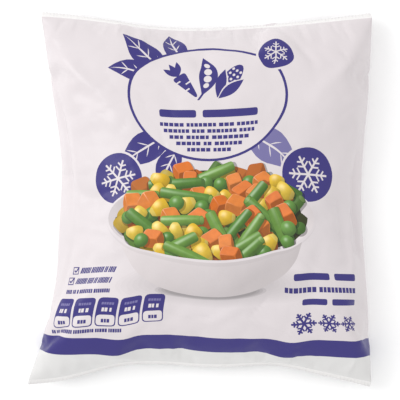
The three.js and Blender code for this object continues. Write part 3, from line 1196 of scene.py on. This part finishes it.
def in_steps(outline):
    """The outline with points added on its long sides, so that they bend with the film. A side
    along an end of the film keeps only its own, because the seal has no more there."""
    sides = np.roll(outline, -1, 0) - outline
    y = np.abs(outline[:, 1])
    at_end = np.minimum(y, np.roll(y, -1)) > FILM_LENGTH / 2 - 1e-6
    steps = np.maximum(np.ceil(np.hypot(*sides.T) / OUTLINE_STEP), 1)
    counts = np.where(at_end, 1, steps).astype(int)
    side = np.repeat(np.arange(len(outline)), counts)
    first = np.repeat(np.cumsum(counts) - counts, counts)
    share = (np.arange(len(side)) - first) / counts[side]
    return outline[side] + sides[side] * share[:, None]


def triangulate(design, is_front):
    """Triangles of the flat film, and for each one the numbers of the shapes that cover it."""
    points = [sheet_points(is_front), *(in_steps(anticlockwise(shape.outline)) for shape in design)]
    starts = np.cumsum([0, *map(len, points)])
    loops = [list(range(a, b)) for a, b in zip(starts[1:-1], starts[2:])]
    made = delaunay_2d_cdt(np.vstack(points).tolist(), [], loops, WHOLE_HULL, SAME_POINT, True)
    return np.array([tuple(v) for v in made[0]]), np.array(made[2]), made[5]


def coloured(design, flat, triangles, covers):
    """Each triangle's ink with its pictured strength, and how far the pictured surface leans at
    each of its corners."""
    counts = np.fromiter(map(len, covers), int, len(covers))
    owner = np.repeat(np.arange(len(covers)), counts)
    laid = np.fromiter(chain.from_iterable(covers), int, counts.sum()) + 1
    is_shade = np.array([False, *(shape.shade for shape in design)])
    inks = np.array([(*WHITE, 0.0), *((*shape.ink, shape.pictured) for shape in design)])
    flat_lean = flat_rounding((0, 0))
    roundings = np.array(
        [flat_lean, *(flat_lean if shape.rounding is None else shape.rounding for shape in design)]
    )
    last = np.zeros(len(covers), int)
    solid = ~is_shade[laid]
    np.maximum.at(last, owner[solid], laid[solid])
    colours = inks[last]
    dims = is_shade[laid] & (laid > last[owner])
    np.multiply.at(colours, owner[dims], inks[laid[dims]])
    lean = roundings[last]
    leans = np.einsum("tij,tcj->tci", lean[:, :, :2], flat[triangles]) + lean[:, None, :, 2]
    return colours, leans


# %% Make the parts of the skin
Part = namedtuple("Part", "points normals triangles colours leans on_map")
MAP_MARGIN = 2.0


def map_places(flat, is_front):
    """Where the flat film lies on a square image: the front in its left half, and the back in its
    right half."""
    half_image = np.array([FILM_WIDTH, FILM_LENGTH + 2 * SEAL_DEPTH]) + 2 * MAP_MARGIN
    middle = (0.25, 0.5) if is_front else (0.75, 0.5)
    return flat / (half_image * (2, 1)) + middle


def film_part(design, is_front):
    """One side of the pouch. On the back the surface's own normals point into the bag."""
    flat, triangles, covers = triangulate(design, is_front)
    x, along = flat.T
    places = pouch_point(x, along, is_front)
    inner = within_film(along, FINE_NORMAL_STEP)
    normals = facing(pouch_point, x, inner, FINE_NORMAL_STEP, FINE_NORMAL_STEP, is_front)
    if not is_front:
        normals, triangles = -normals, triangles[:, ::-1]
    colours, leans = coloured(design, flat, triangles, covers)
    return Part(places, normals, triangles, colours, leans, map_places(flat, is_front))


def seal_part(end, is_front):
    """One layer of one seal. Its film is bare, so it is whiter than the rest, and its ink is lighter
    still as painted light, which makes up for the light that the drooping seal turns away from. The
    steps that its normals come from run outwards, which turns them over at the bottom end."""
    x, share = np.meshgrid(fine_x, np.linspace(0, 1, SEAL_STEPS + 1))
    flat = np.stack([x.ravel(), end * (FILM_LENGTH / 2 + share.ravel() * SEAL_DEPTH)], -1)
    x, share = x.ravel(), share.ravel()
    index = np.arange(x.size).reshape(SEAL_STEPS + 1, -1)
    half = len(fine_x) // 2
    left, right = quads(index[:, : half + 1]), quads(index[:, half:])
    cuts = left[:, [0, 1, 3]], left[:, [1, 2, 3]], right[:, [0, 1, 2]], right[:, [0, 2, 3]]
    triangles = np.vstack(cuts)
    normals = facing(seal_point, x, share, FINE_NORMAL_STEP, SHARE_STEP, end, is_front)
    if (end > 0) != is_front:
        normals, triangles = -normals, triangles[:, ::-1]
    colours = np.tile([*SEAL_WHITE_WITH_PAINTED_LIGHT, 0], (len(triangles), 1))
    leans = np.zeros((len(triangles), 3, 2))
    places = seal_point(x, share, end, is_front)
    return Part(places, normals, triangles, colours, leans, map_places(flat, is_front))


# %% Join the parts
MERGE = 1e-4  # two points this close are the same one


def joined(parts):
    """All parts as one mesh: points that coincide become one, and triangles left without an area
    are dropped."""
    starts = np.cumsum([0, *(len(part.points) for part in parts)])
    shifts = np.repeat(starts[:-1], [len(part.triangles) for part in parts])
    points, normals, corners, colours, leans, on_map = map(np.vstack, zip(*parts))
    corners = corners + shifts[:, None]
    rounded_off = np.round(points / MERGE)
    _, first, same = np.unique(rounded_off, axis=0, return_index=True, return_inverse=True)
    triangles = same.reshape(-1)[corners]
    a, b, c = triangles.T
    whole = (a != b) & (b != c) & (c != a)
    at_corners = [values[corners][whole] for values in (normals, on_map)]
    return points[first], triangles[whole], *at_corners, colours[whole], leans[whole]


parts = [film_part(front_print, True), film_part(back_print, False)]
parts += [seal_part(end, is_front) for end in (-1, 1) for is_front in (True, False)]
skin_points, skin_triangles, skin_normals, skin_map, skin_colours, skin_leans = joined(parts)

mesh = new_mesh("film", skin_points * MM, skin_triangles)
colour_attribute = mesh.attributes.new("ink", "FLOAT_COLOR", "FACE")
colour_attribute.data.foreach_set("color", skin_colours.astype(np.float32).ravel())
lean_attribute = mesh.attributes.new("lean", "FLOAT_VECTOR", "CORNER")
leans = np.concatenate([skin_leans, np.zeros_like(skin_leans[..., :1])], -1)
lean_attribute.data.foreach_set("vector", leans.astype(np.float32).ravel())
bake_map = mesh.uv_layers.new(name="OFBake")  # for whoever bakes the print to an image
bake_map.uv.foreach_set("vector", skin_map.astype(np.float32).ravel())
mesh.shade_smooth()
mesh.normals_split_custom_set(skin_normals.reshape(-1, 3).tolist())
film = new_object("film", mesh)

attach(film, "root")
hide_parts("bag")
edges = np.sort(np.vstack([skin_triangles[:, pair] for pair in ([0, 1], [1, 2], [2, 0])]), 1)
uses = np.unique(edges, axis=0, return_counts=True)[1]
print("film:", len(skin_triangles), "triangles; edges without two faces:", (uses != 2).sum())

# %% [markdown]
# ## Printed film
#
# The ink is under the outer layer of a clear, glossy film, so print and bare film shine alike.
# Where a shape is pictured, the shader works out the light on it: the lean gives the sideways
# part of the normal, Pythagoras gives the rest, and the dot product with the light's direction
# gives how bright it is. Crinkles too fine for the mesh are a bump.

# %% Film material
PICTURE_LIGHT = Vector((-0.45, 0.62, 0.64)).normalized()
PICTURE_GLINT = (PICTURE_LIGHT + Vector((0, 0, 1))).normalized()
PICTURE_TONES = 0.45, 1.08  # from the side away from the light to the one that faces it
GRAIN_TONES = 0.9, 1.08
MOTTLE_TONES = 0.97, 1.02
GLINT_SHARPNESS, GLINT_STRENGTH = 30.0, 0.24
GLOSS = 0.3, 0.4  # roughness where the film is smoothest and where it is dullest
GRAIN_SCALE, MOTTLE_SCALE, CRINKLE_SCALE = 420.0, 45.0, 130.0  # lumps to a metre
CRINKLE_DEPTH = 0.0003


def add(tree, kind, *values, output=0, **settings):
    """Adds a node, sets its options, fills its inputs in order with numbers or other nodes'
    outputs, and returns one of its outputs."""
    node = tree.nodes.new(kind)
    for name, value in settings.items():
        setattr(node, name, value)
    for socket, value in zip(node.inputs, values):
        if isinstance(value, bpy.types.NodeSocket):
            tree.links.new(value, socket)
        elif value is not None:
            socket.default_value = value
    return node.outputs[output]


def maths(tree, operation, *values, **settings):
    return add(tree, "ShaderNodeMath", *values, operation=operation, **settings)


def dot(tree, *vectors):
    return add(tree, "ShaderNodeVectorMath", *vectors, operation="DOT_PRODUCT", output="Value")


def spread(tree, value, low, high, tones):
    """A value between low and high, turned into one between the two tones."""
    return add(tree, "ShaderNodeMapRange", value, low, high, *tones)


def picture_tone(tree, lean, direction):
    """The dot product of a direction with the pictured normal."""
    rest = maths(tree, "SUBTRACT", 1.0, dot(tree, lean, lean), use_clamp=True)
    towards_us = maths(tree, "POWER", rest, 0.5)
    sideways = dot(tree, lean, (direction.x, direction.y, 0))
    return maths(tree, "MULTIPLY_ADD", towards_us, direction.z, sideways)


def printed_film():
    material = bpy.data.materials.new("printed_film")
    material.use_nodes = True
    tree = material.node_tree
    shader = tree.nodes["Principled BSDF"]
    place = add(tree, "ShaderNodeTexCoord", output="Object")
    colour = add(tree, "ShaderNodeAttribute", attribute_name="ink", output="Color")
    pictured = add(tree, "ShaderNodeAttribute", attribute_name="ink", output="Alpha")
    lean = add(tree, "ShaderNodeAttribute", attribute_name="lean", output="Vector")

    tone = spread(tree, picture_tone(tree, lean, PICTURE_LIGHT), 0.0, 1.0, PICTURE_TONES)
    grain = add(tree, "ShaderNodeTexNoise", place, None, GRAIN_SCALE, 3.0)
    grained = spread(tree, grain, 0.3, 0.7, GRAIN_TONES)
    grained = add(tree, "ShaderNodeMix", maths(tree, "POWER", pictured, 3.0), None, 1.0, grained)
    tone = add(tree, "ShaderNodeMix", pictured, None, 1.0, maths(tree, "MULTIPLY", tone, grained))
    glint = maths(tree, "POWER", picture_tone(tree, lean, PICTURE_GLINT), GLINT_SHARPNESS)
    glint = maths(tree, "MULTIPLY", glint, maths(tree, "POWER", pictured, 4.0))
    glint = maths(tree, "MULTIPLY", glint, GLINT_STRENGTH)

    mottle = add(tree, "ShaderNodeTexNoise", place, None, MOTTLE_SCALE, 2.0)
    mottle = spread(tree, mottle, 0.3, 0.7, MOTTLE_TONES)
    tone = maths(tree, "MULTIPLY", tone, mottle)
    colour = add(tree, "ShaderNodeVectorMath", colour, None, None, tone, operation="SCALE")
    colour = add(tree, "ShaderNodeVectorMath", colour, glint, operation="ADD")
    tree.links.new(colour, shader.inputs["Base Color"])

    tree.links.new(spread(tree, mottle, *MOTTLE_TONES, GLOSS), shader.inputs["Roughness"])
    shader.inputs["Specular IOR Level"].default_value = 0.35
    shader.inputs["Coat Weight"].default_value = 0.12
    shader.inputs["Coat Roughness"].default_value = 0.15
    noise = place, None, CRINKLE_SCALE, 4.0, 0.55, None, None, None, 0.8
    crinkle = add(tree, "ShaderNodeTexNoise", *noise)
    bump = add(tree, "ShaderNodeBump", 0.35, CRINKLE_DEPTH, None, crinkle)
    tree.links.new(bump, shader.inputs["Normal"])
    return material


mesh.materials.append(printed_film())

# %% [markdown]
# ## Floor and light
#
# The floor is white and the light is soft. Most of it comes from all round, and one large lamp at
# the upper left makes that side of the bag the brighter one.

# %% Floor and light
FLOOR_WHITE = 0.95
FLOOR_GLOW = 0.08  # keeps the floor white in the bag's shadow
SKY_STRENGTH = 0.95
KEY_PLACE, KEY_SIZE, KEY_POWER = (-0.7, 0.3, 0.7), 0.7, 3.8

floor = flat_square("floor", 3)
floor_material = bpy.data.materials.new("pale_floor")
floor_material.use_nodes = True
floor_shader = floor_material.node_tree.nodes["Principled BSDF"]
floor_shader.inputs["Base Color"].default_value = (FLOOR_WHITE, FLOOR_WHITE, FLOOR_WHITE, 1)
floor_shader.inputs["Emission Color"].default_value = (1, 1, 1, 1)
floor_shader.inputs["Emission Strength"].default_value = FLOOR_GLOW
floor.data.materials.append(floor_material)

world = bpy.data.worlds.new("studio")
bpy.context.scene.world = world
world.use_nodes = True
sky = world.node_tree.nodes["Background"]
sky.inputs["Color"].default_value = (1, 1, 1, 1)
sky.inputs["Strength"].default_value = SKY_STRENGTH

key_light = bpy.data.lights.new("key_light", "AREA")
key_light.size = KEY_SIZE
key_light.energy = KEY_POWER
key_lamp = new_object("key_light", key_light)
key_lamp.location = KEY_PLACE
key_lamp.rotation_euler = (-Vector(KEY_PLACE)).to_track_quat("-Z", "Y").to_euler()
bpy.context.scene.view_settings.view_transform = "Standard"
